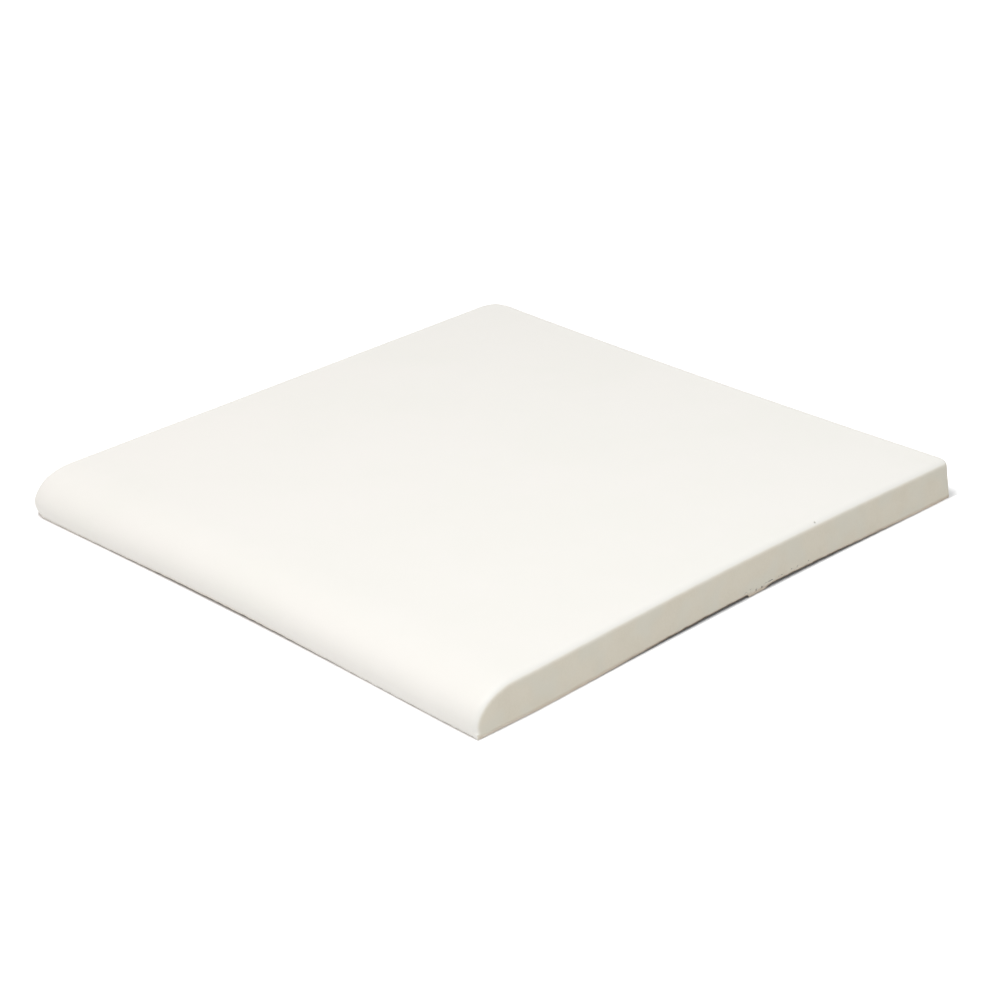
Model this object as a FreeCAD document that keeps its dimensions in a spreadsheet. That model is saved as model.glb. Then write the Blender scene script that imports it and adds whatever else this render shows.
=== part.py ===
import FreeCAD, Part

import math
import os

import Sketcher

# Square bullnose trim tile, lying on its back.
# X runs along the rounded edge, which faces -Y. Z is up through the thickness.
# The origin is the centre of the back. Lengths are in millimetres, angles in degrees.

NODE = "bullnose_tile"
CLOSE = 1e-4

# Driving sizes: name, value, what it sets.
SIZES = (
    ("tile_width", 152.0, "length of the rounded edge"),
    ("tile_depth", 152.0, "front of the rounded edge to the plain edge opposite"),
    ("tile_thickness", 9.7, "back to glazed face"),
    ("nose_run", 12.0, "front of the rounded edge to the start of the flat face"),
    ("nose_toe", 1.8, "height of the upright band under the rounding"),
    ("nose_toe_radius", 5.5, "tighter radius of the rounding, next to the upright band"),
    ("edge_draft", 4.0, "lean of the three plain edges from upright"),
    ("corner_radius", 2.4, "rounding of the two upright corners away from the rounded edge"),
    ("arris_radius", 1.4, "rounding of the upper edges and the ends of the rounded edge"),
    ("foot_chamfer", 0.3, "easing of the lower edges"),
    ("back_border", 10.0, "plain land round the keyed back"),
    ("back_rib", 4.0, "rib between two keying recesses"),
    ("back_cells", 6, "keying recesses along each side"),
    ("cell_depth", 0.8, "depth of a keying recess"),
    ("cell_corner", 2.0, "corner radius of a keying recess at the back"),
    ("cell_flare", 30.0, "lean of a recess wall from upright"),
)


def make_sheet(doc):
    """Write the driving sizes into a spreadsheet, one named cell each."""
    sheet = doc.addObject("Spreadsheet::Sheet", "Sizes")
    for row, (name, value, note) in enumerate(SIZES, start=1):
        sheet.set("A%d" % row, note)
        sheet.set("B%d" % row, str(value))
        sheet.setAlias("B%d" % row, name)
    doc.recompute()
    return sheet


def origin_feature(body, role):
    """Return the plane or axis of the body's own origin that has this role."""
    for feature in body.Origin.OriginFeatures:
        if feature.Role == role:
            return feature
    raise ValueError("the origin has no " + role)


def new_sketch(body, name, role):
    """Start a sketch on one of the body's own origin planes."""
    sketch = body.newObject("Sketcher::SketchObject", name)
    sketch.AttachmentSupport = [(origin_feature(body, role), "")]
    sketch.MapMode = "FlatFace"
    return sketch


def constrain(sketch, kind, *elements):
    """Add a geometric constraint to a sketch."""
    sketch.addConstraint(Sketcher.Constraint(kind, *elements))


def drive(sketch, name, expression, kind, *elements):
    """Add a named dimension to a sketch and tie it to the sizes."""
    index = sketch.addConstraint(Sketcher.Constraint(kind, *elements))
    sketch.renameConstraint(index, name)
    sketch.setExpression("Constraints." + name, expression)


def face_names(shape, test):
    """Name the flat faces whose outward normal passes the test."""
    names = []
    for number, face in enumerate(shape.Faces, start=1):
        if face.Surface.TypeId == "Part::GeomPlane" and test(face.normalAt(0, 0)):
            names.append("Face%d" % number)
    return names


def edge_names(shape, test):
    """Name the edges whose bounding box passes the test."""
    names = []
    for number, edge in enumerate(shape.Edges, start=1):
        if test(edge.BoundBox):
            names.append("Edge%d" % number)
    return names


def plan_sketch(body, sheet):
    """Draw the outline of the back, a rectangle centred on the origin."""
    across = sheet.tile_width / 2
    half = sheet.tile_depth / 2
    corners = (
        FreeCAD.Vector(-across, -half, 0),
        FreeCAD.Vector(across, -half, 0),
        FreeCAD.Vector(across, half, 0),
        FreeCAD.Vector(-across, half, 0),
    )

    sketch = new_sketch(body, "plan_outline", "XY_Plane")
    sides = []
    for start, end in zip(corners, corners[1:] + corners[:1]):
        sides.append(sketch.addGeometry(Part.LineSegment(start, end)))
    front, right, back, left = sides
    for side, following in zip(sides, sides[1:] + sides[:1]):
        constrain(sketch, "Coincident", side, 2, following, 1)
    for level in (front, back):
        constrain(sketch, "Horizontal", level)
    for upright in (right, left):
        constrain(sketch, "Vertical", upright)
    constrain(sketch, "Symmetric", front, 1, back, 1, -1, 1)
    drive(sketch, "width", "Sizes.tile_width", "DistanceX", front, 1, front, 2, sheet.tile_width)
    drive(sketch, "depth", "Sizes.tile_depth", "DistanceY", right, 1, right, 2, sheet.tile_depth)
    return sketch


def tile_blank(doc, body, sheet):
    """Raise the outline of the back to the thickness of the tile."""
    blank = body.newObject("PartDesign::Pad", "tile_blank")
    blank.Profile = plan_sketch(body, sheet)
    blank.setExpression("Length", "Sizes.tile_thickness")
    doc.recompute()
    return blank


def lean_edges(doc, body, blank):
    """Lean the three plain edges inwards as they rise, as the press leaves them."""
    lean = body.newObject("PartDesign::Draft", "leaning_edges")
    shape = blank.Shape
    lean.Base = (blank, face_names(shape, lambda out: abs(out.x) > 1 - CLOSE or out.y > 1 - CLOSE))
    lean.NeutralPlane = (blank, face_names(shape, lambda out: out.z < CLOSE - 1))
    lean.setExpression("Angle", "Sizes.edge_draft * 1 deg")
    doc.recompute()
    return lean


def nose_sketch(body, sheet):
    """Draw what is cut away above the rounded edge, with Y to the right and Z up.

    The rounding is two tangent arcs: a tight one that rises from the upright toe
    and a wide one that runs out level into the face.
    """
    front = -sheet.tile_depth / 2
    top = sheet.tile_thickness
    toe = sheet.nose_toe
    run = sheet.nose_run
    tight = sheet.nose_toe_radius
    drop = top - toe
    wide = ((run - tight) ** 2 + drop ** 2 - tight ** 2) / (2 * (drop - tight))
    tight_centre = FreeCAD.Vector(front + tight, toe, 0)
    wide_centre = FreeCAD.Vector(front + run, top - wide, 0)
    towards = tight_centre - wide_centre
    meeting = math.atan2(towards.y, towards.x)
    out = FreeCAD.Vector(0, 0, 1)
    toe_high = FreeCAD.Vector(front, toe, 0)
    corner = FreeCAD.Vector(front, top, 0)
    face_start = FreeCAD.Vector(front + run, top, 0)

    sketch = new_sketch(body, "nose_section", "YZ_Plane")
    wide_circle = Part.Circle(wide_centre, out, wide)
    wide_arc = sketch.addGeometry(Part.ArcOfCircle(wide_circle, math.pi / 2, meeting))
    tight_circle = Part.Circle(tight_centre, out, tight)
    tight_arc = sketch.addGeometry(Part.ArcOfCircle(tight_circle, meeting, math.pi))
    upright = sketch.addGeometry(Part.LineSegment(toe_high, corner))
    level = sketch.addGeometry(Part.LineSegment(corner, face_start))
    constrain(sketch, "Tangent", wide_arc, 2, tight_arc, 1)
    for first, second in ((tight_arc, upright), (upright, level), (level, wide_arc)):
        constrain(sketch, "Coincident", first, 2, second, 1)
    constrain(sketch, "Vertical", upright)
    constrain(sketch, "Horizontal", level)
    constrain(sketch, "Vertical", wide_arc, 3, level, 2)
    constrain(sketch, "Horizontal", tight_arc, 3, upright, 1)
    drive(sketch, "front", "Sizes.tile_depth / 2", "DistanceX", upright, 1, -1, 1, -front)
    drive(sketch, "toe", "Sizes.nose_toe", "DistanceY", -1, 1, upright, 1, toe)
    drive(sketch, "face", "Sizes.tile_thickness", "DistanceY", -1, 1, upright, 2, top)
    drive(sketch, "run", "Sizes.nose_run", "DistanceX", level, 1, level, 2, run)
    drive(sketch, "tight", "Sizes.nose_toe_radius", "Radius", tight_arc, tight)
    return sketch


def round_nose(doc, body, sheet):
    """Cut the rounded edge along the whole front."""
    nose = body.newObject("PartDesign::Pocket", "rounded_nose")
    nose.Profile = nose_sketch(body, sheet)
    nose.SideType = "Symmetric"
    nose.setExpression("Length", "Sizes.tile_width")
    doc.recompute()
    return nose


def is_upright_corner(box, sheet):
    """Tell an edge that stands at a plain corner, over most of the thickness."""
    return box.YMin > 0 and box.ZLength > sheet.tile_thickness / 2


def round_corners(doc, body, sheet, base):
    """Round the two upright corners away from the rounded edge."""
    corners = body.newObject("PartDesign::Fillet", "rounded_corners")
    corners.Base = (base, edge_names(base.Shape, lambda box: is_upright_corner(box, sheet)))
    corners.setExpression("Radius", "Sizes.corner_radius")
    doc.recompute()
    return corners


def round_arris(doc, body, sheet, base):
    """Round the upper edges and the ends of the rounded edge."""
    across = sheet.tile_width / 2

    def sharp(box):
        """Tell an edge to round from the lower edges and the seams of what is round already."""
        if box.ZMax < CLOSE or is_upright_corner(box, sheet):
            return False
        return box.XLength < across or box.YMin > 0

    arris = body.newObject("PartDesign::Fillet", "rounded_arris")
    arris.Base = (base, edge_names(base.Shape, sharp))
    arris.setExpression("Radius", "Sizes.arris_radius")
    doc.recompute()
    return arris


def ease_foot(doc, body, base):
    """Ease the lower edges all round."""
    foot = body.newObject("PartDesign::Chamfer", "eased_foot")
    foot.Base = (base, edge_names(base.Shape, lambda box: box.ZMax < CLOSE))
    foot.setExpression("Size", "Sizes.foot_chamfer")
    doc.recompute()
    return foot


def cell_step(side):
    """Give the step from one keying recess to the next along a side, as an expression."""
    return "(Sizes.%s - 2 * Sizes.back_border + Sizes.back_rib) / Sizes.back_cells" % side


def cell_length(side):
    """Give the length of a keying recess along a side, as an expression."""
    return cell_step(side) + " - Sizes.back_rib"


def cell_sketch(body, sheet):
    """Draw the keying recess nearest the left front corner, a rounded rectangle."""
    field_width = sheet.tile_width - 2 * sheet.back_border
    field_depth = sheet.tile_depth - 2 * sheet.back_border
    left = -field_width / 2
    front = -field_depth / 2
    right = left + (field_width + sheet.back_rib) / sheet.back_cells - sheet.back_rib
    back = front + (field_depth + sheet.back_rib) / sheet.back_cells - sheet.back_rib
    bend = sheet.cell_corner
    quarter = math.pi / 2
    out = FreeCAD.Vector(0, 0, 1)
    centres = (
        FreeCAD.Vector(right - bend, back - bend, 0),
        FreeCAD.Vector(left + bend, back - bend, 0),
        FreeCAD.Vector(left + bend, front + bend, 0),
        FreeCAD.Vector(right - bend, front + bend, 0),
    )

    sketch = new_sketch(body, "cell_outline", "XY_Plane")
    bends = []
    for number, centre in enumerate(centres):
        circle = Part.Circle(centre, out, bend)
        arc = Part.ArcOfCircle(circle, number * quarter, (number + 1) * quarter)
        bends.append(sketch.addGeometry(arc))
    sides = []
    for bend_before, bend_after in zip(bends, bends[1:] + bends[:1]):
        start = sketch.Geometry[bend_before].EndPoint
        end = sketch.Geometry[bend_after].StartPoint
        side = sketch.addGeometry(Part.LineSegment(start, end))
        constrain(sketch, "Tangent", bend_before, 2, side, 1)
        constrain(sketch, "Tangent", side, 2, bend_after, 1)
        sides.append(side)
    back_side, left_side, front_side, right_side = sides
    for level in (back_side, front_side):
        constrain(sketch, "Horizontal", level)
    for upright in (left_side, right_side):
        constrain(sketch, "Vertical", upright)
    for other in bends[1:]:
        constrain(sketch, "Equal", bends[0], other)
    drive(sketch, "corner", "Sizes.cell_corner", "Radius", bends[0], bend)
    drive(sketch, "left", "Sizes.tile_width / 2 - Sizes.back_border",
          "DistanceX", left_side, 1, -1, 1, -left)
    drive(sketch, "front", "Sizes.tile_depth / 2 - Sizes.back_border",
          "DistanceY", front_side, 1, -1, 1, -front)
    drive(sketch, "width", cell_length("tile_width"),
          "DistanceX", left_side, 1, right_side, 2, right - left)
    drive(sketch, "depth", cell_length("tile_depth"),
          "DistanceY", front_side, 2, back_side, 1, back - front)
    return sketch


def key_back(doc, body, sheet):
    """Sink a grid of shallow flared recesses into the back, which key the bedding."""
    cell = body.newObject("PartDesign::Pocket", "keying_recess")
    cell.Profile = cell_sketch(body, sheet)
    cell.Reversed = True
    cell.setExpression("Length", "Sizes.cell_depth")
    cell.setExpression("TaperAngle", "-Sizes.cell_flare * 1 deg")
    doc.recompute()
    grid = body.newObject("PartDesign::LinearPattern", "keying_grid")
    grid.Originals = [cell]
    grid.Direction = (origin_feature(body, "X_Axis"), [""])
    grid.Direction2 = (origin_feature(body, "Y_Axis"), [""])
    grid.Mode = "Extent"
    grid.Mode2 = "Extent"
    grid.setExpression("Length", "(Sizes.back_cells - 1) * " + cell_step("tile_width"))
    grid.setExpression("Length2", "(Sizes.back_cells - 1) * " + cell_step("tile_depth"))
    grid.setExpression("Occurrences", "Sizes.back_cells")
    grid.setExpression("Occurrences2", "Sizes.back_cells")
    body.Tip = grid
    doc.recompute()
    return grid


def check(doc, body, features):
    """Stop if a feature failed or took nothing away, or the tile isn't one sound solid."""
    for item in doc.Objects:
        if "Invalid" in item.State or "Error" in item.State:
            raise RuntimeError(item.Name + " failed")
    for before, after in zip(features, features[1:]):
        if after.Shape.Volume >= before.Shape.Volume:
            raise RuntimeError(after.Name + " took nothing away")
    shape = body.Shape
    if shape.isNull() or not shape.isValid() or len(shape.Solids) != 1:
        raise RuntimeError(body.Label + " isn't one sound solid")


def main():
    """Build the tile and write its shape."""
    doc = FreeCAD.newDocument("bullnose_tile_model")
    sheet = make_sheet(doc)
    body = doc.addObject("PartDesign::Body", "Tile")
    body.Label = NODE
    blank = tile_blank(doc, body, sheet)
    leaning = lean_edges(doc, body, blank)
    nosed = round_nose(doc, body, sheet)
    cornered = round_corners(doc, body, sheet, nosed)
    rounded = round_arris(doc, body, sheet, cornered)
    eased = ease_foot(doc, body, rounded)
    keyed = key_back(doc, body, sheet)
    check(doc, body, (blank, leaning, nosed, cornered, rounded, eased, keyed))
    os.makedirs("parts", exist_ok=True)
    body.Shape.exportStep("parts/%s.step" % body.Label)
    print("%s: %.0f mm3" % (body.Label, body.Shape.Volume))


main()
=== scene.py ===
"""Looks of a bullnose trim tile: the glazed tile, the pale floor it lies on, its light and its camera."""

import functools
import logging
import math
from dataclasses import dataclass, field
from enum import Enum
from typing import Any, Iterable, Union

import bmesh
import bpy
from bmesh.types import BMEdge, BMesh, BMFace
from mathutils import Matrix, Vector, noise

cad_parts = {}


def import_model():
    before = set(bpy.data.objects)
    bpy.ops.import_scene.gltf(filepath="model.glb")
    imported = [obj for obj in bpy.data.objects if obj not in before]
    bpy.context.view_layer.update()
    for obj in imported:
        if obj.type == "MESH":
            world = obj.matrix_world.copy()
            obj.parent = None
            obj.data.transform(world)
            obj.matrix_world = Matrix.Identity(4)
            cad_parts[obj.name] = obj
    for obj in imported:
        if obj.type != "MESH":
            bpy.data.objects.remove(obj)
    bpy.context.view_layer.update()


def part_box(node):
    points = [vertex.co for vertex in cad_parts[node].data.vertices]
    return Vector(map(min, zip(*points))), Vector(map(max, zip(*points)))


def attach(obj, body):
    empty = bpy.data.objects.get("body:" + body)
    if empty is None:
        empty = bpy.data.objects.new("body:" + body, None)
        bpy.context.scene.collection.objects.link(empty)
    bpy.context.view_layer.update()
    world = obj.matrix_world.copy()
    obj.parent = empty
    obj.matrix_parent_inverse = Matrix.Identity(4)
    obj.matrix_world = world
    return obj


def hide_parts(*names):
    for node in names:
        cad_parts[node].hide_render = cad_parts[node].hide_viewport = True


LOG = logging.getLogger("bullnose_tile")
MM = 0.001
NEAR = 1e-6
WELD = 0.02 * MM
SHARP = math.radians(30)
CREASE = math.radians(40)
FACING = 0.99
TILE_NODE = "bullnose_tile"
GLAZE_SLOT = "white_glaze"
# vertex marks: height before firing, painted shade of the pits, share of painted shade and tan band at the
# foot
MARKS = ("rise", "pit_shade", "foot_shade")
IMAGE_PIXELS = 1000.0
BLACK = (0.0, 0.0, 0.0)
WHITE = (1.0, 1.0, 1.0)

Colour = tuple[float, float, float]
Point = tuple[float, float, float]
Span = tuple[float, float]
Term = Union["Value", bpy.types.NodeSocket, float]


class Side(Enum):
    """The four sides of the tile, each by the way that it faces."""

    NOSE = (0.0, -1.0)
    RIGHT = (1.0, 0.0)
    BACK = (0.0, 1.0)
    LEFT = (-1.0, 0.0)

    @property
    def outward(self) -> Vector:
        """The level direction that the side faces."""
        return Vector((*self.value, 0.0))

    @property
    def along(self) -> Vector:
        """The level direction that runs along the side."""
        return Vector((-self.value[1], self.value[0], 0.0))

    @property
    def sign(self) -> float:
        """1 where the side faces up its axis and -1 where it faces down it."""
        return sum(self.value)


PLAIN_SIDES = (Side.RIGHT, Side.BACK, Side.LEFT)


class Graph:
    """The nodes of one material or world."""

    def __init__(self, tree: bpy.types.NodeTree) -> None:
        """Starts with an empty tree.

        Args:
            tree: The node tree to fill.
        """
        self.tree = tree
        tree.nodes.clear()

    def node(
        self,
        kind: str,
        settings: dict[str, Any] | None = None,
        inputs: dict[str | int, Any] | None = None,
    ) -> bpy.types.Node:
        """Adds a node.

        Args:
            kind: The node's type, without its usual prefix.
            settings: Properties of the node, set before its sockets.
            inputs: Values or links of its sockets, by name or place.

        Returns:
            The new node.
        """
        made = self.tree.nodes.new("ShaderNode" + kind)
        for name, setting in (settings or {}).items():
            setattr(made, name, setting)
        for name, given in (inputs or {}).items():
            source = given.socket if isinstance(given, Value) else given
            if isinstance(source, bpy.types.NodeSocket):
                self.tree.links.new(source, made.inputs[name])
            else:
                made.inputs[name].default_value = source
        return made

    def value(self, node: bpy.types.Node, output: str | int = 0) -> "Value":
        """Wraps one output of a node, so that it can be used in an expression."""
        return Value(self, node.outputs[output])

    def parts(self, vector: bpy.types.NodeSocket) -> tuple["Value", "Value", "Value"]:
        """The three numbers of a vector."""
        split = self.node("SeparateXYZ", inputs={0: vector})
        return self.value(split, 0), self.value(split, 1), self.value(split, 2)

    def noise(
        self, place: bpy.types.NodeSocket, size: float, detail: float = 2.0, rough: float = 0.5
    ) -> "Value":
        """Soft noise from 0 to 1.

        Args:
            place: The coordinates that it follows.
            size: The size of its larger blotches, in metres.
            detail: How many finer layers it has.
            rough: How strong the finer layers are.

        Returns:
            The noise.
        """
        sockets = {"Vector": place, "Scale": 1.0 / size, "Detail": detail, "Roughness": rough}
        return self.value(self.node("TexNoise", inputs=sockets))

    def attribute(self, name: str) -> "Value":
        """A number that the mesh carries at its vertices."""
        return self.value(self.node("Attribute", {"attribute_name": name}), "Fac")

    def blend(self, share: Term, first: Any, second: Any) -> bpy.types.NodeSocket:
        """A colour between two others.

        Args:
            share: How much of the second colour there is.
            first: A colour or a colour socket.
            second: A colour or a colour socket.

        Returns:
            The mixed colour.
        """
        first, second = ((*c, 1.0) if isinstance(c, tuple) else c for c in (first, second))
        mixed = self.node("Mix", {"data_type": "RGBA"}, {0: share, 6: first, 7: second})
        return mixed.outputs[2]


class Value:
    """One number that changes over a surface. Arithmetic on it adds Math nodes."""

    def __init__(self, graph: Graph, socket: bpy.types.NodeSocket) -> None:
        """Wraps a socket.

        Args:
            graph: The graph that the socket is in.
            socket: The output that carries the number.
        """
        self.graph = graph
        self.socket = socket

    def _math(self, operation: str, *terms: Term) -> "Value":
        """The result of one Math node."""
        made = self.graph.node("Math", {"operation": operation}, dict(enumerate(terms)))
        return self.graph.value(made)

    def __add__(self, other: Term) -> "Value":
        """The sum."""
        return self._math("ADD", self, other)

    __radd__ = __add__

    def __sub__(self, other: Term) -> "Value":
        """The difference."""
        return self._math("SUBTRACT", self, other)

    def __rsub__(self, other: Term) -> "Value":
        """The difference, the other way round."""
        return self._math("SUBTRACT", other, self)

    def __mul__(self, other: Term) -> "Value":
        """The product."""
        return self._math("MULTIPLY", self, other)

    __rmul__ = __mul__

    def __pow__(self, other: float) -> "Value":
        """The number raised to a power."""
        return self._math("POWER", self, other)

    def __neg__(self) -> "Value":
        """The number with its sign changed."""
        return self._math("MULTIPLY", self, -1.0)

    def __abs__(self) -> "Value":
        """The number without its sign."""
        return self._math("ABSOLUTE", self)

    def larger(self, other: Term) -> "Value":
        """The larger of two numbers."""
        return self._math("MAXIMUM", self, other)

    def root(self) -> "Value":
        """The square root."""
        return self._math("SQRT", self)

    def step(self, low: float, high: float) -> "Value":
        """A smooth rise from 0 at one number to 1 at a higher one."""
        sockets = {"Value": self, "From Min": low, "From Max": high}
        made = self.graph.node("MapRange", {"interpolation_type": "SMOOTHSTEP"}, sockets)
        return self.graph.value(made)


@dataclass(frozen=True)
class SatinGlaze:
    """The off-white satin glaze of the face and the nose, thinner where it turns down to a plain side."""

    white: Colour = (0.925, 0.915, 0.865)
    cloud: Colour = (0.915, 0.91, 0.855)
    thin: Colour = (0.90, 0.88, 0.81)
    cloud_size: float = 22 * MM
    cloud_span: Span = (0.35, 0.7)
    thin_span: Span = (0.6, 0.95)
    roughness: float = 0.5
    roughness_spread: float = 0.08
    gloss_size: float = 9 * MM
    peel_size: float = 1.6 * MM
    peel_share: float = 0.25

    def colour(self, graph: Graph, where: bpy.types.NodeSocket, sideways: Value) -> bpy.types.NodeSocket:
        """The colour of the glaze.

        Args:
            graph: The graph of the material.
            where: The coordinates that its clouds follow.
            sideways: How far a surface has turned to a plain side, from 0 to 1.

        Returns:
            The colour.
        """
        cloud = graph.noise(where, self.cloud_size, detail=3.0).step(*self.cloud_span)
        clouded = graph.blend(cloud, self.white, self.cloud)
        return graph.blend(sideways.step(*self.thin_span), clouded, self.thin)


@dataclass(frozen=True)
class FiredBody:
    """The bare cream body that shows on the plain sides, the foot and the back."""

    cream: Colour = (0.724, 0.676, 0.565)
    sand: Colour = (0.692, 0.642, 0.530)
    ash: Colour = (0.690, 0.670, 0.578)
    # darker tan of the foot's lowest millimetre: partly the clay's own tone, partly painted contact shade
    rim: Colour = (0.55, 0.46, 0.36)
    # painted shade of the gap under the lifted foot
    gap_shade: Colour = (0.085, 0.062, 0.036)
    # painted shade in the pits, the nicks and the pinhole
    pit_shade: Colour = (0.15, 0.12, 0.10)
    roughness: float = 0.82
    grain_size: float = 0.5 * MM
    streak_size: float = 5 * MM
    sand_span: Span = (0.35, 0.7)
    mottle_size: float = 7 * MM
    mottle_span: Span = (0.4, 0.65)
    mottle_share: float = 0.6

    def colour(self, graph: Graph, where: bpy.types.NodeSocket, grain: Value) -> bpy.types.NodeSocket:
        """The colour of the body, before its tan band and painted shade.

        Args:
            graph: The graph of the material.
            where: The coordinates that its streaks and mottling follow.
            grain: The fine grain of the clay.

        Returns:
            The colour.
        """
        streak = graph.noise(where, self.streak_size, detail=2.0)
        sandy = (grain * 0.5 + streak * 0.5).step(*self.sand_span)
        streaked = graph.blend(sandy, self.cream, self.sand)
        mottle = graph.noise(where, self.mottle_size, detail=1.0).step(*self.mottle_span)
        return graph.blend(mottle * self.mottle_share, streaked, self.ash)


@dataclass(frozen=True)
class TileFinish:
    """The glaze and the body, as one material that tells them apart by the way a surface faces."""

    glaze: SatinGlaze = SatinGlaze()
    body: FiredBody = FiredBody()
    waver_size: float = 3 * MM
    bare_span: Span = (0.74, 0.99)
    bare_waver: float = 0.06
    under_span: Span = (0.55, 0.85)
    # the foot's darkening near the edges: a tan band, partly the clay's tone and partly painted contact
    # shade, and painted gap shade
    foot_shade_margin: Span = (71.5 * MM, 73.5 * MM)
    foot_shade_waver: float = 0.4 * MM
    rim_heights: Span = (0.15 * MM, 1.0 * MM)
    rim_shade_span: Span = (0.0, 0.5)
    rim_share: float = 0.8
    # how low and where the painted shade of the gap under the lifted foot lies
    gap_shade_heights: Span = (0.1 * MM, 0.5 * MM)
    gap_shade_span: Span = (0.45, 0.85)
    relief_strength: float = 0.5
    relief_depth: float = 0.05 * MM

    def material(self) -> bpy.types.Material:
        """Makes the material.

        Returns:
            The finished material.
        """
        made = bpy.data.materials.new(GLAZE_SLOT)
        made.use_nodes = True
        graph = Graph(made.node_tree)
        texture = graph.node("TexCoord")
        where = texture.outputs["Object"]
        nx, ny, nz = graph.parts(texture.outputs["Normal"])
        waver = graph.noise(where, self.waver_size, detail=3.0) - 0.5
        grain = graph.noise(where, self.body.grain_size, detail=4.0, rough=0.65)

        sideways = (nx * nx + ny.larger(0.0) ** 2.0).root()
        bare_side = (sideways + waver * self.bare_waver).step(*self.bare_span)
        bare = bare_side.larger((-nz).step(*self.under_span))
        glazed = self.glaze.colour(graph, where, sideways)
        colour = graph.blend(bare, glazed, self.body.colour(graph, where, grain))
        # the foot's tan band and painted shade, and the painted shade of the pits
        colour = self._with_painted_shade(graph, where, waver, colour)

        gloss = graph.noise(where, self.glaze.gloss_size, detail=2.0) - 0.5
        roughness = self.glaze.roughness + gloss * self.glaze.roughness_spread
        roughness = roughness + bare * (self.body.roughness - self.glaze.roughness)

        peel = graph.noise(where, self.glaze.peel_size, detail=2.0)
        relief = peel * (1.0 - bare) * self.glaze.peel_share + grain * bare
        bump = graph.node(
            "Bump",
            inputs={"Strength": self.relief_strength, "Distance": self.relief_depth, "Height": relief},
        )
        shader = graph.node(
            "BsdfPrincipled",
            inputs={"Base Color": colour, "Roughness": roughness, "Normal": bump.outputs[0]},
        )
        graph.node("OutputMaterial", inputs={"Surface": shader.outputs[0]})
        return made

    def _with_painted_shade(
        self, graph: Graph, where: bpy.types.NodeSocket, waver: Value, clean: bpy.types.NodeSocket
    ) -> bpy.types.NodeSocket:
        """Lays a tan band and painted shade on the foot, and painted shade in the pits.

        Args:
            graph: The graph of the material.
            where: The coordinates of the tile.
            waver: Soft noise about 0, which breaks the line of the band and the painted shade.
            unshaded: The colour before the band and the painted shade.

        Returns:
            The colour with its band and painted shade.
        """
        rise, pit_shade, foot_shade = (graph.attribute(name) for name in MARKS)
        x, y, _ = graph.parts(where)
        margin = abs(x).larger(abs(y)).step(*self.foot_shade_margin)
        height = rise + waver * self.foot_shade_waver
        # darker tan band along the foot: partly the clay's own tone, partly painted contact shade
        rim = (1.0 - height.step(*self.rim_heights)) * foot_shade.step(*self.rim_shade_span) * margin
        # painted shade of the gap under the foot, darkest where the foot stands clear of the floor
        gap_shade = (1.0 - height.step(*self.gap_shade_heights)) * foot_shade.step(*self.gap_shade_span) * margin
        colour = graph.blend(rim * self.rim_share, clean, self.body.rim)
        colour = graph.blend(gap_shade, colour, self.body.gap_shade)
        # painted shade in the pits
        return graph.blend(pit_shade, colour, self.body.pit_shade)


@dataclass(frozen=True)
class Pull:
    """How firing pulled one side out of true.

    The whole side is drawn inwards, most in its middle, and its foot is tucked in. Over a span about
    its crown the side is also lifted off the floor, and the foot is worn away below. Some of the eased
    edge of the foot may be torn off square all along. The foot gets a darker tan band and painted shade,
    by one share at each end and by another at the crown.
    """

    draw: float = 0.0
    tuck: float = 0.0
    lift: float = 0.0
    wear: float = 0.0
    crown: float = 0.0
    span: float = 60 * MM
    square: float = 0.0
    # shares of painted shade and darker tan band at the foot: at its ends, and at the crown where it stands
    # clear
    foot_shade_ends: tuple[float, float] = (0.4, 0.4)
    foot_shade_crown: float = 0.4

    def arch(self, along: float) -> float:
        """How much of the lift and the wear there is at a place along the side, from 0 to 1."""
        return max(0.0, 1.0 - ((along - self.crown) / self.span) ** 2) ** 2

    def foot_shade(self, along: float, half: float) -> float:
        """How much painted shade and darker tan band the foot gets.

        Args:
            along: The place along the side.
            half: Half the length of the side.

        Returns:
            The share, from 0 to 1.
        """
        start, end = self.foot_shade_ends
        level = start + (end - start) * (0.5 + along / half / 2)
        return level + (self.foot_shade_crown - level) * self.arch(along)


@dataclass(frozen=True)
class Corner:
    """How one corner strays from a neat one.

    Each of its sides is drawn in by its own length there and tucked in further at the foot. The rounding
    between them may give way to a square edge below some height, and fully so below half of it.
    """

    sides: tuple[Side, Side]
    draw: tuple[float, float] = (0.0, 0.0)
    reach: float = 5 * MM
    tuck: tuple[float, float] = (0.0, 0.0)
    tuck_height: float = 4 * MM
    square_height: float = 0.0

    def other(self, side: Side) -> Side:
        """The side that one side meets at the corner."""
        return self.sides[1 - self.sides.index(side)]

    def foot_draw(self, side: Side) -> float:
        """How far the foot of one side is drawn in at the corner."""
        place = self.sides.index(side)
        return self.draw[place] + self.tuck[place]


@dataclass(frozen=True)
class Pit:
    """A small pit in the skin: about where it is before firing, and how dark the painted shade in it is."""

    place: Point
    dark: float


@dataclass(frozen=True)
class Burr:
    """A lip of clay that the press left hanging from the foot of one side."""

    side: Side = Side.RIGHT
    starts: float = 5.4 * MM
    ends: float = 13.2 * MM
    fade: float = 2.6 * MM
    thick: float = 0.8 * MM
    # how much less painted shade the foot gets where the lip fills the gap
    clean: float = 0.45

    def share(self, along: float, inside: float) -> float:
        """How much of the gap under the side the lip fills.

        Args:
            along: The place along the side.
            inside: How far the place lies inside the edge of the foot.

        Returns:
            The share, from 0 to 1.
        """
        if not self.starts < along < self.ends:
            return 0.0
        return min(1.0, (self.ends - along) / self.fade) * max(0.0, 1.0 - inside / self.thick)


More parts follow.
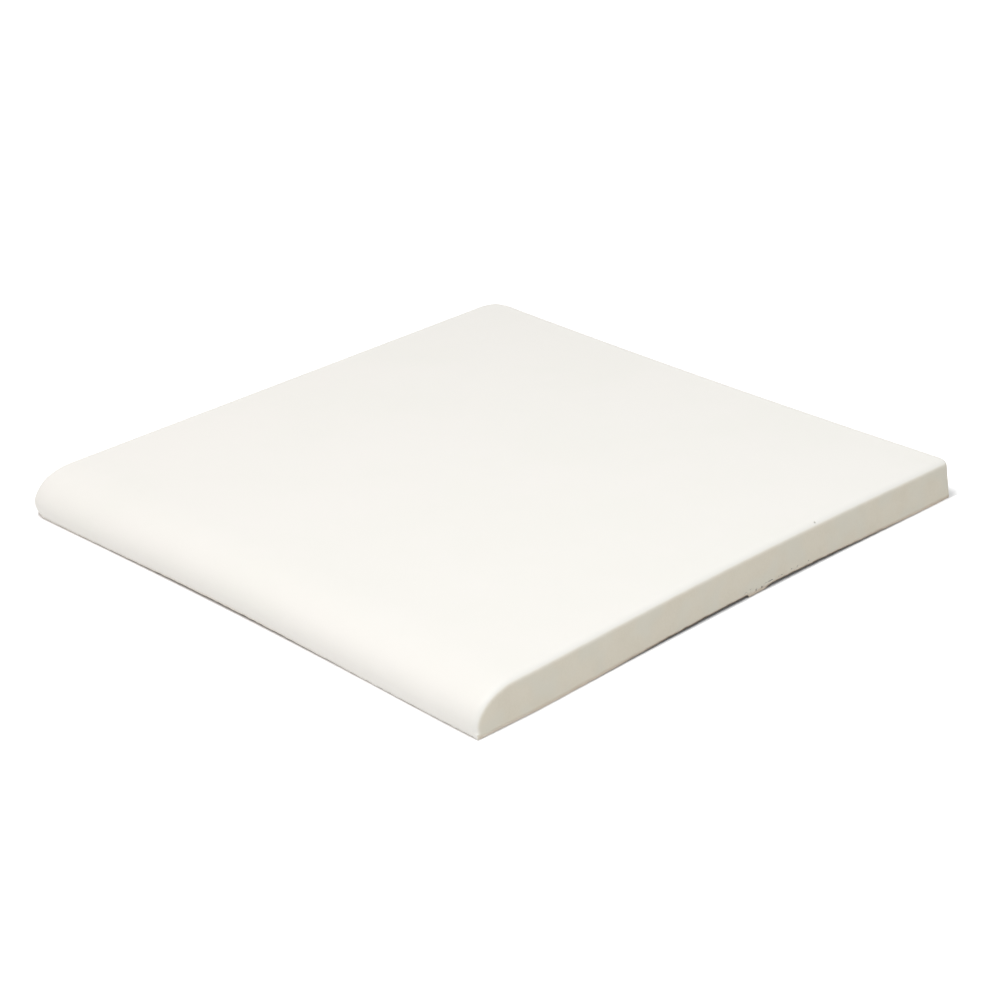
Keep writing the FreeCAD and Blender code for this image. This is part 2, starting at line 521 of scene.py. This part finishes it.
@dataclass
class BullnoseTile:
    """The tile, pressed in one piece, with its sizes in metres."""

    low: Vector
    high: Vector
    nose_run: float = 12 * MM
    nose_toe: float = 1.8 * MM
    nose_rings: int = 16
    lean: float = math.radians(4)
    corner: float = 2.4 * MM
    corner_rings: int = 6
    arris: float = 1.7 * MM
    arris_rings: int = 6
    foot: float = 0.3 * MM
    foot_rings: int = 2
    foot_band: float = 0.9 * MM
    chip_bands: tuple[float, ...] = (1.0 * MM, 1.2 * MM, 1.4 * MM)
    border: float = 10 * MM
    rib: float = 4 * MM
    cells: int = 6
    cell_depth: float = 0.8 * MM
    cell_flare: float = 0.46 * MM
    cell_corner: float = 2 * MM
    cell_rings: int = 4
    mesh_pitch: float = 1.4 * MM
    mesh_clear: float = 3 * MM
    ragged: float = 0.10 * MM
    ragged_scale: float = 0.7 / MM
    ragged_reach: float = 2 * MM
    ragged_seed: int = 1
    tuck_height: float = 3.2 * MM
    tuck_reach: float = 6 * MM
    face_bow: float = 1.0
    foot_bow: float = 1.6
    pulls: dict[Side, Pull] = field(
        default_factory=lambda: {
            Side.NOSE: Pull(
                draw=1.13 * MM, tuck=0.35 * MM, lift=0.30 * MM, wear=0.23 * MM, crown=-8 * MM, span=54 * MM,
                foot_shade_ends=(0.2, 0.05), foot_shade_crown=0.25,
            ),
            Side.RIGHT: Pull(
                draw=1.18 * MM, lift=0.30 * MM, wear=0.38 * MM, crown=8.5 * MM, span=64 * MM, square=1.0,
                foot_shade_ends=(0.38, 0.45), foot_shade_crown=1.0,
            ),
            Side.BACK: Pull(draw=1.35 * MM),
            Side.LEFT: Pull(),
        }
    )
    burr: Burr = Burr()
    corners: tuple[Corner, ...] = (
        Corner((Side.NOSE, Side.LEFT), draw=(0.57 * MM, 0.57 * MM), tuck=(0.85 * MM, 0.85 * MM)),
        Corner((Side.NOSE, Side.RIGHT), draw=(0.1 * MM, 0.6 * MM), reach=16 * MM, square_height=1.3 * MM),
        Corner((Side.BACK, Side.LEFT), draw=(1.75 * MM, 1.75 * MM), reach=5.5 * MM),
        Corner((Side.RIGHT, Side.BACK)),
    )
    pits: tuple[Pit, ...] = (
        Pit((74.65 * MM, 28.65 * MM, 9.05 * MM), 0.4),
        Pit((75.9 * MM, 4.9 * MM, 1.1 * MM), 0.5),
        Pit((75.9 * MM, 6.5 * MM, 1.3 * MM), 0.4),
        Pit((75.9 * MM, 8.4 * MM, 1.1 * MM), 0.5),
        Pit((75.9 * MM, 10.0 * MM, 1.1 * MM), 0.6),
        Pit((75.9 * MM, 11.5 * MM, 1.1 * MM), 0.8),
        Pit((75.9 * MM, 12.4 * MM, 1.1 * MM), 1.0),
        Pit((75.9 * MM, 13.0 * MM, 1.1 * MM), 0.8),
        Pit((75.9 * MM, 13.5 * MM, 1.1 * MM), 1.0),
        Pit((75.9 * MM, 13.6 * MM, 1.3 * MM), 0.9),
        Pit((75.9 * MM, 15.8 * MM, 1.1 * MM), 0.5),
        Pit((75.9 * MM, 16.6 * MM, 1.3 * MM), 1.0),
        Pit((75.9 * MM, 17.1 * MM, 1.3 * MM), 0.8),
        Pit((75.9 * MM, 19.9 * MM, 1.3 * MM), 0.9),
        Pit((75.9 * MM, 21.8 * MM, 1.3 * MM), 0.5),
        Pit((75.9 * MM, 25.4 * MM, 1.3 * MM), 0.9),
    )
    pit_wall: float = 0.04 * MM
    pit_depth: float = 0.2 * MM

    def __post_init__(self) -> None:
        """Works out the blank from the CAD box, with room for the pull of firing."""
        self.width = 2 * max(-self.low.x, self.high.x)
        self.depth = 2 * max(-self.low.y, self.high.y)
        self.thickness = self.high.z - self.low.z - max(p.lift for p in self.pulls.values())
        self.nose_drop = self.thickness - self.nose_toe

    def reach(self, side: Side) -> float:
        """How far a side stands from the middle of the tile."""
        return (self.width if side.value[0] else self.depth) / 2

    @property
    def long_edge(self) -> float:
        """The length above which an edge of the grid is worth a finer cut."""
        return 0.6 * self.mesh_pitch

    def build(self) -> bpy.types.Object:
        """Makes the tile and dresses it.

        Returns:
            The finished piece.
        """
        bm = bmesh.new()
        for name in MARKS:
            bm.verts.layers.float.new(name)
        self._press_blank(bm)
        self._round_nose(bm)
        self._lean_sides(bm)
        self._round_edges(bm)
        back = self._ease_foot(bm)
        self._lay_grid(bm, back)
        self._key_back(bm)
        for pit in self.pits:
            self._prick(bm, pit)
        self._fire(bm)
        bmesh.ops.recalc_face_normals(bm, faces=bm.faces)
        for face in bm.faces:
            face.smooth = True
        for edge in bm.edges:
            edge.smooth = edge.calc_face_angle(0.0) < CREASE
        mesh = bpy.data.meshes.new("glazed_tile")
        bm.to_mesh(mesh)
        bm.free()
        piece = bpy.data.objects.new("glazed_tile", mesh)
        bpy.context.scene.collection.objects.link(piece)
        weighted = piece.modifiers.new("even_shading", "WEIGHTED_NORMAL")
        weighted.keep_sharp = True
        mesh.materials.append(TileFinish().material())
        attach(piece, "root")
        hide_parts(TILE_NODE)
        return piece

    def _press_blank(self, bm: BMesh) -> None:
        """Makes the plain block that the tile is shaped from."""
        size = Matrix.Diagonal((self.width, self.depth, self.thickness, 1.0))
        bmesh.ops.create_cube(bm, size=1.0, matrix=Matrix.Translation((0, 0, self.thickness / 2)) @ size)

    def _round_nose(self, bm: BMesh) -> None:
        """Rounds the upper front edge to a quarter of an ellipse, longer than it is high."""
        front = -self.depth / 2
        edge = [
            e for e in bm.edges
            if all(v.co.y < front + NEAR and v.co.z > self.thickness - NEAR for v in e.verts)
        ]
        self._bevel(bm, edge, self.nose_drop, self.nose_rings)
        curved = [
            v for v in bm.verts
            if v.co.z > self.nose_toe - NEAR and v.co.y < front + self.nose_drop + NEAR
        ]
        stretch = self.nose_run / self.nose_drop
        bmesh.ops.scale(
            bm, vec=(1.0, stretch, 1.0), space=Matrix.Translation((0, -front, 0)), verts=curved
        )

    def _lean_sides(self, bm: BMesh) -> None:
        """Leans the plain sides inwards from the foot up."""
        for side in PLAIN_SIDES:
            wall = [v for v in bm.verts if v.co.dot(side.outward) > self.reach(side) - self.arris]
            shear = Matrix.Identity(4)
            for axis in range(2):
                shear[axis][2] = -side.outward[axis] * math.tan(self.lean)
            bmesh.ops.transform(bm, matrix=shear, verts=wall)

    def _round_edges(self, bm: BMesh) -> None:
        """Rounds the upright corners at the back, then the upper edges and the ends of the nose."""
        corners = [
            e for e in bm.edges
            if all(v.co.y > 0 for v in e.verts)
            and abs(e.verts[0].co.z - e.verts[1].co.z) > self.thickness / 2
        ]
        self._bevel(bm, corners, self.corner, self.corner_rings)
        arris = [
            e for e in bm.edges
            if e.calc_face_angle() > SHARP and any(v.co.z > NEAR for v in e.verts)
        ]
        self._bevel(bm, arris, self.arris, self.arris_rings)

    @staticmethod
    def _bevel(bm: BMesh, edges: list[BMEdge], size: float, rings: int) -> None:
        """Rounds edges.

        Args:
            bm: The mesh.
            edges: The edges to round.
            size: The radius at a square edge.
            rings: How many faces the rounding has across.
        """
        bmesh.ops.bevel(
            bm, geom=edges, offset=size, offset_type="OFFSET", affect="EDGES",
            segments=rings, profile=0.5, material=-1, clamp_overlap=False,
        )

    def _ease_foot(self, bm: BMesh) -> BMFace:
        """Eases the edge round the back.

        Returns:
            The back, still one plain face.
        """
        rim = [e for e in bm.edges if all(v.co.z < NEAR for v in e.verts)]
        self._bevel(bm, rim, self.foot, self.foot_rings)
        return min(bm.faces, key=lambda f: f.calc_center_median().z)

    @staticmethod
    def _cut(bm: BMesh, faces: Iterable[BMFace], across: Vector, places: Iterable[float]) -> None:
        """Cuts faces along parallel planes, with no change of shape.

        Args:
            bm: The mesh.
            faces: The faces to cut.
            across: The direction that the planes face.
            places: How far along that direction each plane stands.
        """
        geom: dict = {}
        for face in faces:
            geom.update(dict.fromkeys((face, *face.edges, *face.verts)))
        for place in places:
            made = bmesh.ops.bisect_plane(
                bm, geom=list(geom), dist=WELD, plane_co=across * place, plane_no=across
            )
            geom = dict.fromkeys((*made["geom"], *made["geom_cut"]))

    @staticmethod
    def _skin(bm: BMesh, back: BMFace) -> list[BMFace]:
        """All faces but the back."""
        return [f for f in bm.faces if f is not back]

    @staticmethod
    def _underside(bm: BMesh) -> list[BMFace]:
        """The faces that lie on the floor."""
        return [f for f in bm.faces if all(v.co.z < NEAR for v in f.verts)]

    def _lay_grid(self, bm: BMesh, back: BMFace) -> None:
        """Cuts the face and the sides into a fine grid, finest along the foot.

        Args:
            bm: The mesh.
            back: The face under the tile, which is left whole.
        """
        start = -self.width / 2 + self.mesh_clear
        length = self.width - 2 * self.mesh_clear
        count = int(length / self.mesh_pitch)
        places = [start + i * length / count for i in range(count + 1)]
        self._cut(bm, self._skin(bm, back), Vector((1, 0, 0)), places)
        nose_ends = -self.depth / 2 + self.nose_run + self.mesh_pitch
        self._cut(bm, self._skin(bm, back), Vector((0, 1, 0)), [y for y in places if y > nose_ends])
        for end in (Side.LEFT, Side.RIGHT):
            cheek = max(
                (f for f in bm.faces if f.normal.dot(end.outward) > FACING),
                key=lambda f: len(f.verts),
            )
            lobes = sorted({round(v.co.y, 6) for v in cheek.verts if v.co.z > self.foot_band})
            self._cut(bm, [cheek], Vector((0, 1, 0)), lobes)
        self._cut(bm, self._skin(bm, back), Vector((0, 0, 1)), [self.foot_band, *self.chip_bands])
        hem = [
            e for e in bm.edges
            if all(v.co.z < self.foot_band + NEAR for v in e.verts)
            and abs(e.verts[0].co.z - e.verts[1].co.z) < NEAR
            and e.calc_length() > self.long_edge
        ]
        bmesh.ops.subdivide_edges(bm, edges=hem, cuts=2)

    def _key_back(self, bm: BMesh) -> None:
        """Presses the keying recesses into the back."""
        half = self.width / 2 - self.border
        step = (2 * half + self.rib) / self.cells
        starts = [-half + i * step for i in range(self.cells)]
        lines = sorted(starts + [s + step - self.rib for s in starts])
        self._cut(bm, self._underside(bm), Vector((1, 0, 0)), lines)
        self._cut(bm, self._underside(bm), Vector((0, 1, 0)), lines)

        def in_cell(face: BMFace) -> bool:
            """True where the middle of a face lies in a recess, both ways."""
            middle = face.calc_center_median()
            return all(
                -half < c < half and (c + half) % step < step - self.rib for c in (middle.x, middle.y)
            )

        floors = [f for f in self._underside(bm) if in_cell(f)]
        bmesh.ops.inset_individual(
            bm, faces=floors, thickness=self.cell_flare, depth=-self.cell_depth, use_even_offset=True
        )
        corners = [
            e for e in dict.fromkeys(e for f in floors for v in f.verts for e in v.link_edges)
            if abs(e.verts[0].co.z - e.verts[1].co.z) > self.cell_depth / 2
        ]
        self._bevel(bm, corners, self.cell_corner, self.cell_rings)

    def _prick(self, bm: BMesh, pit: Pit) -> None:
        """Opens a small pit in the skin.

        Args:
            bm: The mesh.
            pit: The pit.
        """
        place = Vector(pit.place)

        def nearest() -> BMFace:
            """The face whose middle is nearest to the place."""
            return min(bm.faces, key=lambda f: (f.calc_center_median() - place).length_squared)

        long_edges = [e for e in nearest().edges if e.calc_length() > self.long_edge]
        bmesh.ops.subdivide_edges(bm, edges=long_edges, cuts=2, use_grid_fill=True)
        mouth = nearest()
        bmesh.ops.inset_individual(
            bm, faces=[mouth], thickness=self.pit_wall, depth=-self.pit_depth, use_even_offset=True
        )
        # the pit's mouth carries its painted shade
        pit_shade = bm.verts.layers.float["pit_shade"]
        for v in mouth.verts:
            v[pit_shade] = pit.dark

    def _fire(self, bm: BMesh) -> None:
        """Pulls the sides slightly out of true and makes the foot ragged, inside the CAD box.

        The noise is seeded first, because Blender otherwise draws it anew each run.

        Args:
            bm: The mesh.
        """
        noise.seed_set(self.ragged_seed)
        rise, foot_shade = (bm.verts.layers.float[name] for name in ("rise", "foot_shade"))
        for v in bm.verts:
            v[rise] = v.co.z
            # share of painted shade and darker tan band at the foot below this point
            v[foot_shade] = self._foot_shade_below(v.co)
            moved = self._pulled(v.co) + self._raggedness(v.co)
            v.co = Vector(max(a, min(b, c)) for a, b, c in zip(self.low, self.high, moved))

    def _foot_shade_below(self, place: Vector) -> float:
        """How much painted shade and darker tan band the foot gets below a point.

        Args:
            place: The point before firing.

        Returns:
            The share, from 0 to 1.
        """
        side = max(Side, key=lambda s: place.dot(s.outward) / self.reach(s))
        half, along = self.reach(side), place.dot(side.along)
        foot_shade = self.pulls[side].foot_shade(along, half)
        # the lip fills the gap, so less shade is painted on the foot there
        if side is self.burr.side:
            foot_shade *= 1.0 - self.burr.clean * self.burr.share(along, 0.0)
        return foot_shade

    def _raggedness(self, place: Vector) -> Vector:
        """How far the ragged foot strays at a point.

        Args:
            place: The point before firing.

        Returns:
            The small move.
        """
        inside = max(abs(place.x) - self.width / 2, abs(place.y) - self.depth / 2) < -self.ragged_reach
        share = 0.0 if inside else max(0.0, 1.0 - place.z / self.foot_band)
        return noise.noise_vector(place * self.ragged_scale) * self.ragged * share

    def _pulled(self, place: Vector) -> Vector:
        """Where firing moves a point of the tile.

        Args:
            place: The point before firing.

        Returns:
            The point after it.
        """
        moved = place.copy()
        foot_share = max(0.0, 1.0 - place.z / self.foot_band)
        bow = self.foot_bow + (self.face_bow - self.foot_bow) * place.z / self.thickness
        for side, pull in self.pulls.items():
            half = self.reach(side)
            along, outward = place.dot(side.along), place.dot(side.outward)
            middle = max(0.0, 1.0 - (along / half) ** 2) ** bow
            nearness = (0.5 + outward / half / 2) ** 2
            low = max(0.0, 1.0 - place.z / self.tuck_height)
            beside = max(0.0, 1.0 - (half - outward) / self.tuck_reach)
            gap = pull.arch(along) * (pull.lift * nearness + pull.wear * foot_share * beside)
            if side is self.burr.side:
                gap *= 1.0 - foot_share * self.burr.share(along, half - outward)
            moved.z += gap
            torn = max(pull.square, pull.arch(along) if pull.wear else 0.0)
            moved += side.outward * (torn * max(0.0, self.foot - place.z) * beside)
            moved -= side.outward * (pull.draw * middle * nearness + pull.tuck * low ** 2 * beside)
        for corner in self.corners:
            moved += self._cornered(place, corner)
        return moved

    def _cornered(self, place: Vector, corner: Corner) -> Vector:
        """How far a corner strays from a neat one at a point.

        Args:
            place: The point before firing.
            corner: The corner.

        Returns:
            The move.
        """
        insides = []
        for side in corner.sides:
            lean = math.tan(self.lean) if side in PLAIN_SIDES else 0.0
            insides.append(self.reach(side) - place.z * lean - place.dot(side.outward))
        near = math.prod(max(0.0, 1.0 - inside / corner.reach) for inside in insides)
        low = max(0.0, 1.0 - place.z / corner.tuck_height)
        move = Vector()
        for side, draw, tuck in zip(corner.sides, corner.draw, corner.tuck):
            move -= side.outward * (near * (draw + tuck * low ** 2))
        bends = [max(0.0, self.arris - inside) for inside in insides]
        if corner.square_height and min(bends) > 0.0:
            share = min(1.0, max(0.0, 2.0 - 2.0 * place.z / corner.square_height))
            stretch = math.hypot(*bends) / max(bends) - 1.0
            for side, bend in zip(corner.sides, bends):
                move += side.outward * (bend * stretch * share)
        return move

    def beyond_foot(self, x: Value, y: Value, shade: dict[Side, float]) -> Value:
        """How far a point of the floor lies outside the foot of the tile.

        Args:
            x: The point's place along the nose.
            y: The point's place across it.
            shade: How wide the shade on the floor is beside each side.

        Returns:
            The distance in widths of the shade, which is negative under the tile.
        """
        beyond = [self._beyond_side(side, x, y) * (1.0 / shade[side]) for side in self.pulls]
        for corner in self.corners:
            first, second = (shade[side] for side in corner.sides)
            beyond.append(self._beyond_corner(corner, x, y) * (2.0 / (first + second)))
        return functools.reduce(Value.larger, beyond)

    def _beyond_side(self, side: Side, x: Value, y: Value) -> Value:
        """How far a point of the floor lies outside the foot of one side.

        Args:
            side: The side, whose line the corners at its ends also bend.
            x: The point's place along the nose.
            y: The point's place across it.

        Returns:
            The distance, which is negative inside.
        """
        pull = self.pulls[side]
        ahead, beside = (x, y) if side.value[0] else (y, x)
        middle = (1.0 - beside * beside * (1.0 / self.reach(side) ** 2)).larger(0.0) ** self.foot_bow
        away = ahead * side.sign - (self.reach(side) - pull.tuck) + middle * pull.draw
        for corner in self.corners:
            if side in corner.sides:
                end = corner.other(side)
                inside = self.reach(end) - beside * end.sign
                near = (1.0 - inside * (1.0 / corner.reach)).larger(0.0)
                away = away + near * corner.foot_draw(side)
        return away

    def _beyond_corner(self, corner: Corner, x: Value, y: Value) -> Value:
        """How far a point of the floor lies outside a corner of the foot, slantwise.

        Args:
            corner: The corner.
            x: The point's place along the nose.
            y: The point's place across it.

        Returns:
            The distance, which is negative inside.
        """
        slant = sum((side.outward for side in corner.sides), Vector()).normalized()
        bend = self.arris * (1.0 - math.sqrt(0.5))
        tip = sum((side.outward * (self.reach(side) - bend) for side in corner.sides), Vector())
        return x * slant.x + y * slant.y - self._pulled(tip).dot(slant)


@dataclass
class PaleFloor:
    """The plain floor, which the camera sees burnt out to white, but for the shade at the tile."""

    tile: BullnoseTile
    reach: float = 6.0
    squares: int = 8
    sink: float = 0.03 * MM
    colour: Colour = (0.88, 0.88, 0.88)
    roughness: float = 0.9
    burn: float = 0.65
    shade: dict[Side, float] = field(
        default_factory=lambda: {
            Side.NOSE: 1.1 * MM, Side.RIGHT: 1.2 * MM, Side.BACK: 6.4 * MM, Side.LEFT: 0.3 * MM
        }
    )

    def build(self) -> bpy.types.Object:
        """Makes the floor.

        Returns:
            The floor.
        """
        bm = bmesh.new()
        bmesh.ops.create_grid(bm, x_segments=self.squares, y_segments=self.squares, size=self.reach)
        bmesh.ops.translate(bm, vec=(0, 0, -self.sink), verts=bm.verts)
        mesh = bpy.data.meshes.new("floor")
        bm.to_mesh(mesh)
        bm.free()
        mesh.materials.append(self._material())
        floor = bpy.data.objects.new("floor", mesh)
        bpy.context.scene.collection.objects.link(floor)
        return floor

    def _material(self) -> bpy.types.Material:
        """Makes the floor's material, clear from below.

        Returns:
            The finished material.
        """
        made = bpy.data.materials.new("pale_floor")
        made.use_nodes = True
        graph = Graph(made.node_tree)
        x, y, _ = graph.parts(graph.node("TexCoord").outputs["Object"])
        outside = self.tile.beyond_foot(x, y, self.shade).step(0.0, 1.0)
        burnt = graph.blend(outside * seen_rays(graph), BLACK, WHITE)
        paint = graph.node(
            "BsdfPrincipled",
            inputs={
                "Base Color": (*self.colour, 1.0), "Roughness": self.roughness, "Specular IOR Level": 0.0,
                "Emission Color": burnt, "Emission Strength": self.burn,
            },
        )
        clear = graph.node("BsdfTransparent")
        below = graph.value(graph.node("NewGeometry"), "Backfacing")
        both = graph.node("MixShader", inputs={0: below, 1: paint.outputs[0], 2: clear.outputs[0]})
        graph.node("OutputMaterial", inputs={"Surface": both.outputs[0]})
        return made


def seen_rays(graph: Graph) -> Value:
    """1 for the rays that show the background, straight or mirrored, and 0 for those that light the tile.

    Args:
        graph: The graph to add the test to.

    Returns:
        The test.
    """
    path = graph.node("LightPath")
    camera = graph.value(path, "Is Camera Ray")
    glossy = graph.value(path, "Is Glossy Ray")
    return camera.larger(glossy).larger(graph.value(path, "Is Transmission Ray"))


@dataclass(frozen=True)
class SoftLamp:
    """One large soft lamp, aimed at the tile."""

    name: str
    place: Point
    size: float
    power: float
    colour: Colour = WHITE

    def build(self) -> bpy.types.Object:
        """Hangs the lamp.

        Returns:
            The lamp.
        """
        data = bpy.data.lights.new(self.name, "AREA")
        data.shape = "DISK"
        data.size = self.size
        data.energy = self.power
        data.color = self.colour
        lamp = bpy.data.objects.new(self.name, data)
        lamp.location = self.place
        lamp.rotation_euler = (-Vector(self.place)).to_track_quat("-Z", "Y").to_euler()
        bpy.context.scene.collection.objects.link(lamp)
        return lamp


@dataclass
class Studio:
    """The soft light of the room: a pale sky all round and a few soft lamps."""

    sky: Colour = (0.437, 0.445, 0.455)
    lamps: tuple[SoftLamp, ...] = (
        SoftLamp("front", (-0.20, -0.35, 0.60), size=0.4, power=1.07, colour=(1.0, 0.868, 0.828)),
        SoftLamp("right", (0.30, -0.15, 0.50), size=0.4, power=0.82),
        SoftLamp("over", (0.12, -0.05, 0.62), size=0.4, power=0.95),
    )

    def build(self) -> None:
        """Sets the sky, which the camera sees as white, and hangs the lamps."""
        world = bpy.data.worlds.new("studio")
        world.use_nodes = True
        graph = Graph(world.node_tree)
        colour = graph.blend(seen_rays(graph), self.sky, WHITE)
        back = graph.node("Background", inputs={"Color": colour, "Strength": 1.0})
        graph.node("OutputWorld", inputs={"Surface": back.outputs[0]})
        bpy.context.scene.world = world
        for lamp in self.lamps:
            lamp.build()


@dataclass
class PhotoCamera:
    """The camera of the photograph, as fitted to the edges of the tile."""

    azimuth: float = math.radians(46.654)
    elevation: float = math.radians(25.657)
    roll: float = math.radians(-1.790)
    distance: float = 620.43 * MM
    focal_pixels: float = 2662.5
    target: Point = (0.453 * MM, 3.153 * MM, 0.0)
    sensor: float = 36.0
    clip_start: float = 0.01
    clip_end: float = 50.0

    def build(self) -> bpy.types.Object:
        """Sets the camera.

        Returns:
            The camera.
        """
        data = bpy.data.cameras.new("photo_camera")
        data.sensor_fit = "HORIZONTAL"
        data.sensor_width = self.sensor
        data.lens = self.focal_pixels / IMAGE_PIXELS * self.sensor
        data.clip_start = self.clip_start
        data.clip_end = self.clip_end
        level = math.cos(self.elevation)
        back = Vector((
            math.sin(self.azimuth) * level, -math.cos(self.azimuth) * level, math.sin(self.elevation)
        ))
        right = Vector((math.cos(self.azimuth), math.sin(self.azimuth), 0.0))
        turn = Matrix((right, back.cross(right), back)).transposed() @ Matrix.Rotation(self.roll, 3, "Z")
        camera = bpy.data.objects.new("photo_camera", data)
        camera.matrix_world = Matrix.Translation(Vector(self.target) + back * self.distance) @ turn.to_4x4()
        bpy.context.scene.collection.objects.link(camera)
        bpy.context.scene.camera = camera
        return camera


def main() -> None:
    """Loads the frame and builds the tile, its floor, its light and its camera."""
    logging.basicConfig(level=logging.INFO, format="%(name)s: %(message)s")
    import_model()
    bpy.context.scene.view_settings.view_transform = "Standard"
    low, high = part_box(TILE_NODE)
    PhotoCamera().build()
    tile = BullnoseTile(low, high)
    piece = tile.build()
    LOG.info("%s: %d faces", piece.name, len(piece.data.polygons))
    floor = PaleFloor(tile).build()
    LOG.info("%s laid", floor.name)
    Studio().build()


if __name__ == "__main__":
    main()
